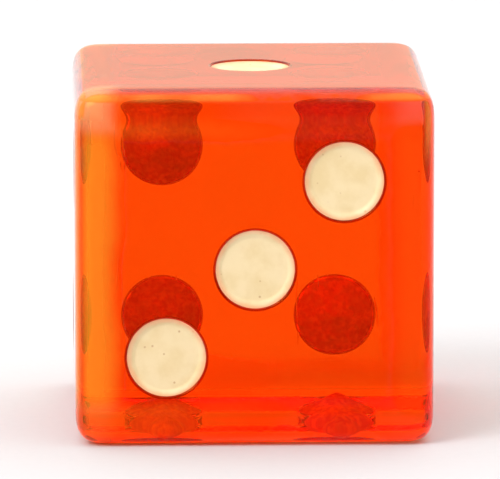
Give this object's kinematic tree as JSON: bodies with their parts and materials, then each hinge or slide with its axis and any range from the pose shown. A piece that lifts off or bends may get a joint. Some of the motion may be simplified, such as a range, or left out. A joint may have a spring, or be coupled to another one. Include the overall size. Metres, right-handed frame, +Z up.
{
  "type": "casino die",
  "caption": "Translucent red-orange cube-shaped casino die with rounded edges and corners and flush cream pips set in drilled sockets.",
  "frame": {"origin": "middle of the bottom face, the six, on the surface that the die stands on", "axes": "+Z up out of the one; -Y to the front, out of the three; +X to the right, out of the five"},
  "size_m": [0.019, 0.019, 0.0191],
  "materials": {
    "block": "polished translucent red-orange cellulose acetate",
    "pip": "cream opaque lacquer filling, satin"
  },
  "bodies": {
    "root": {"die_block": "block", "one_pip_centre": "pip", "two_pip_front_high": "pip", "two_pip_back_low": "pip", "three_pip_left_low": "pip", "three_pip_centre": "pip", "three_pip_right_high": "pip", "four_pip_left_low": "pip", "four_pip_left_high": "pip", "four_pip_right_low": "pip", "four_pip_right_high": "pip", "five_pip_front_low": "pip", "five_pip_front_high": "pip", "five_pip_centre": "pip", "five_pip_back_low": "pip", "five_pip_back_high": "pip", "six_pip_left_front": "pip", "six_pip_left_middle": "pip", "six_pip_left_back": "pip", "six_pip_right_front": "pip", "six_pip_right_middle": "pip", "six_pip_right_back": "pip"}
  },
  "joints": []
}
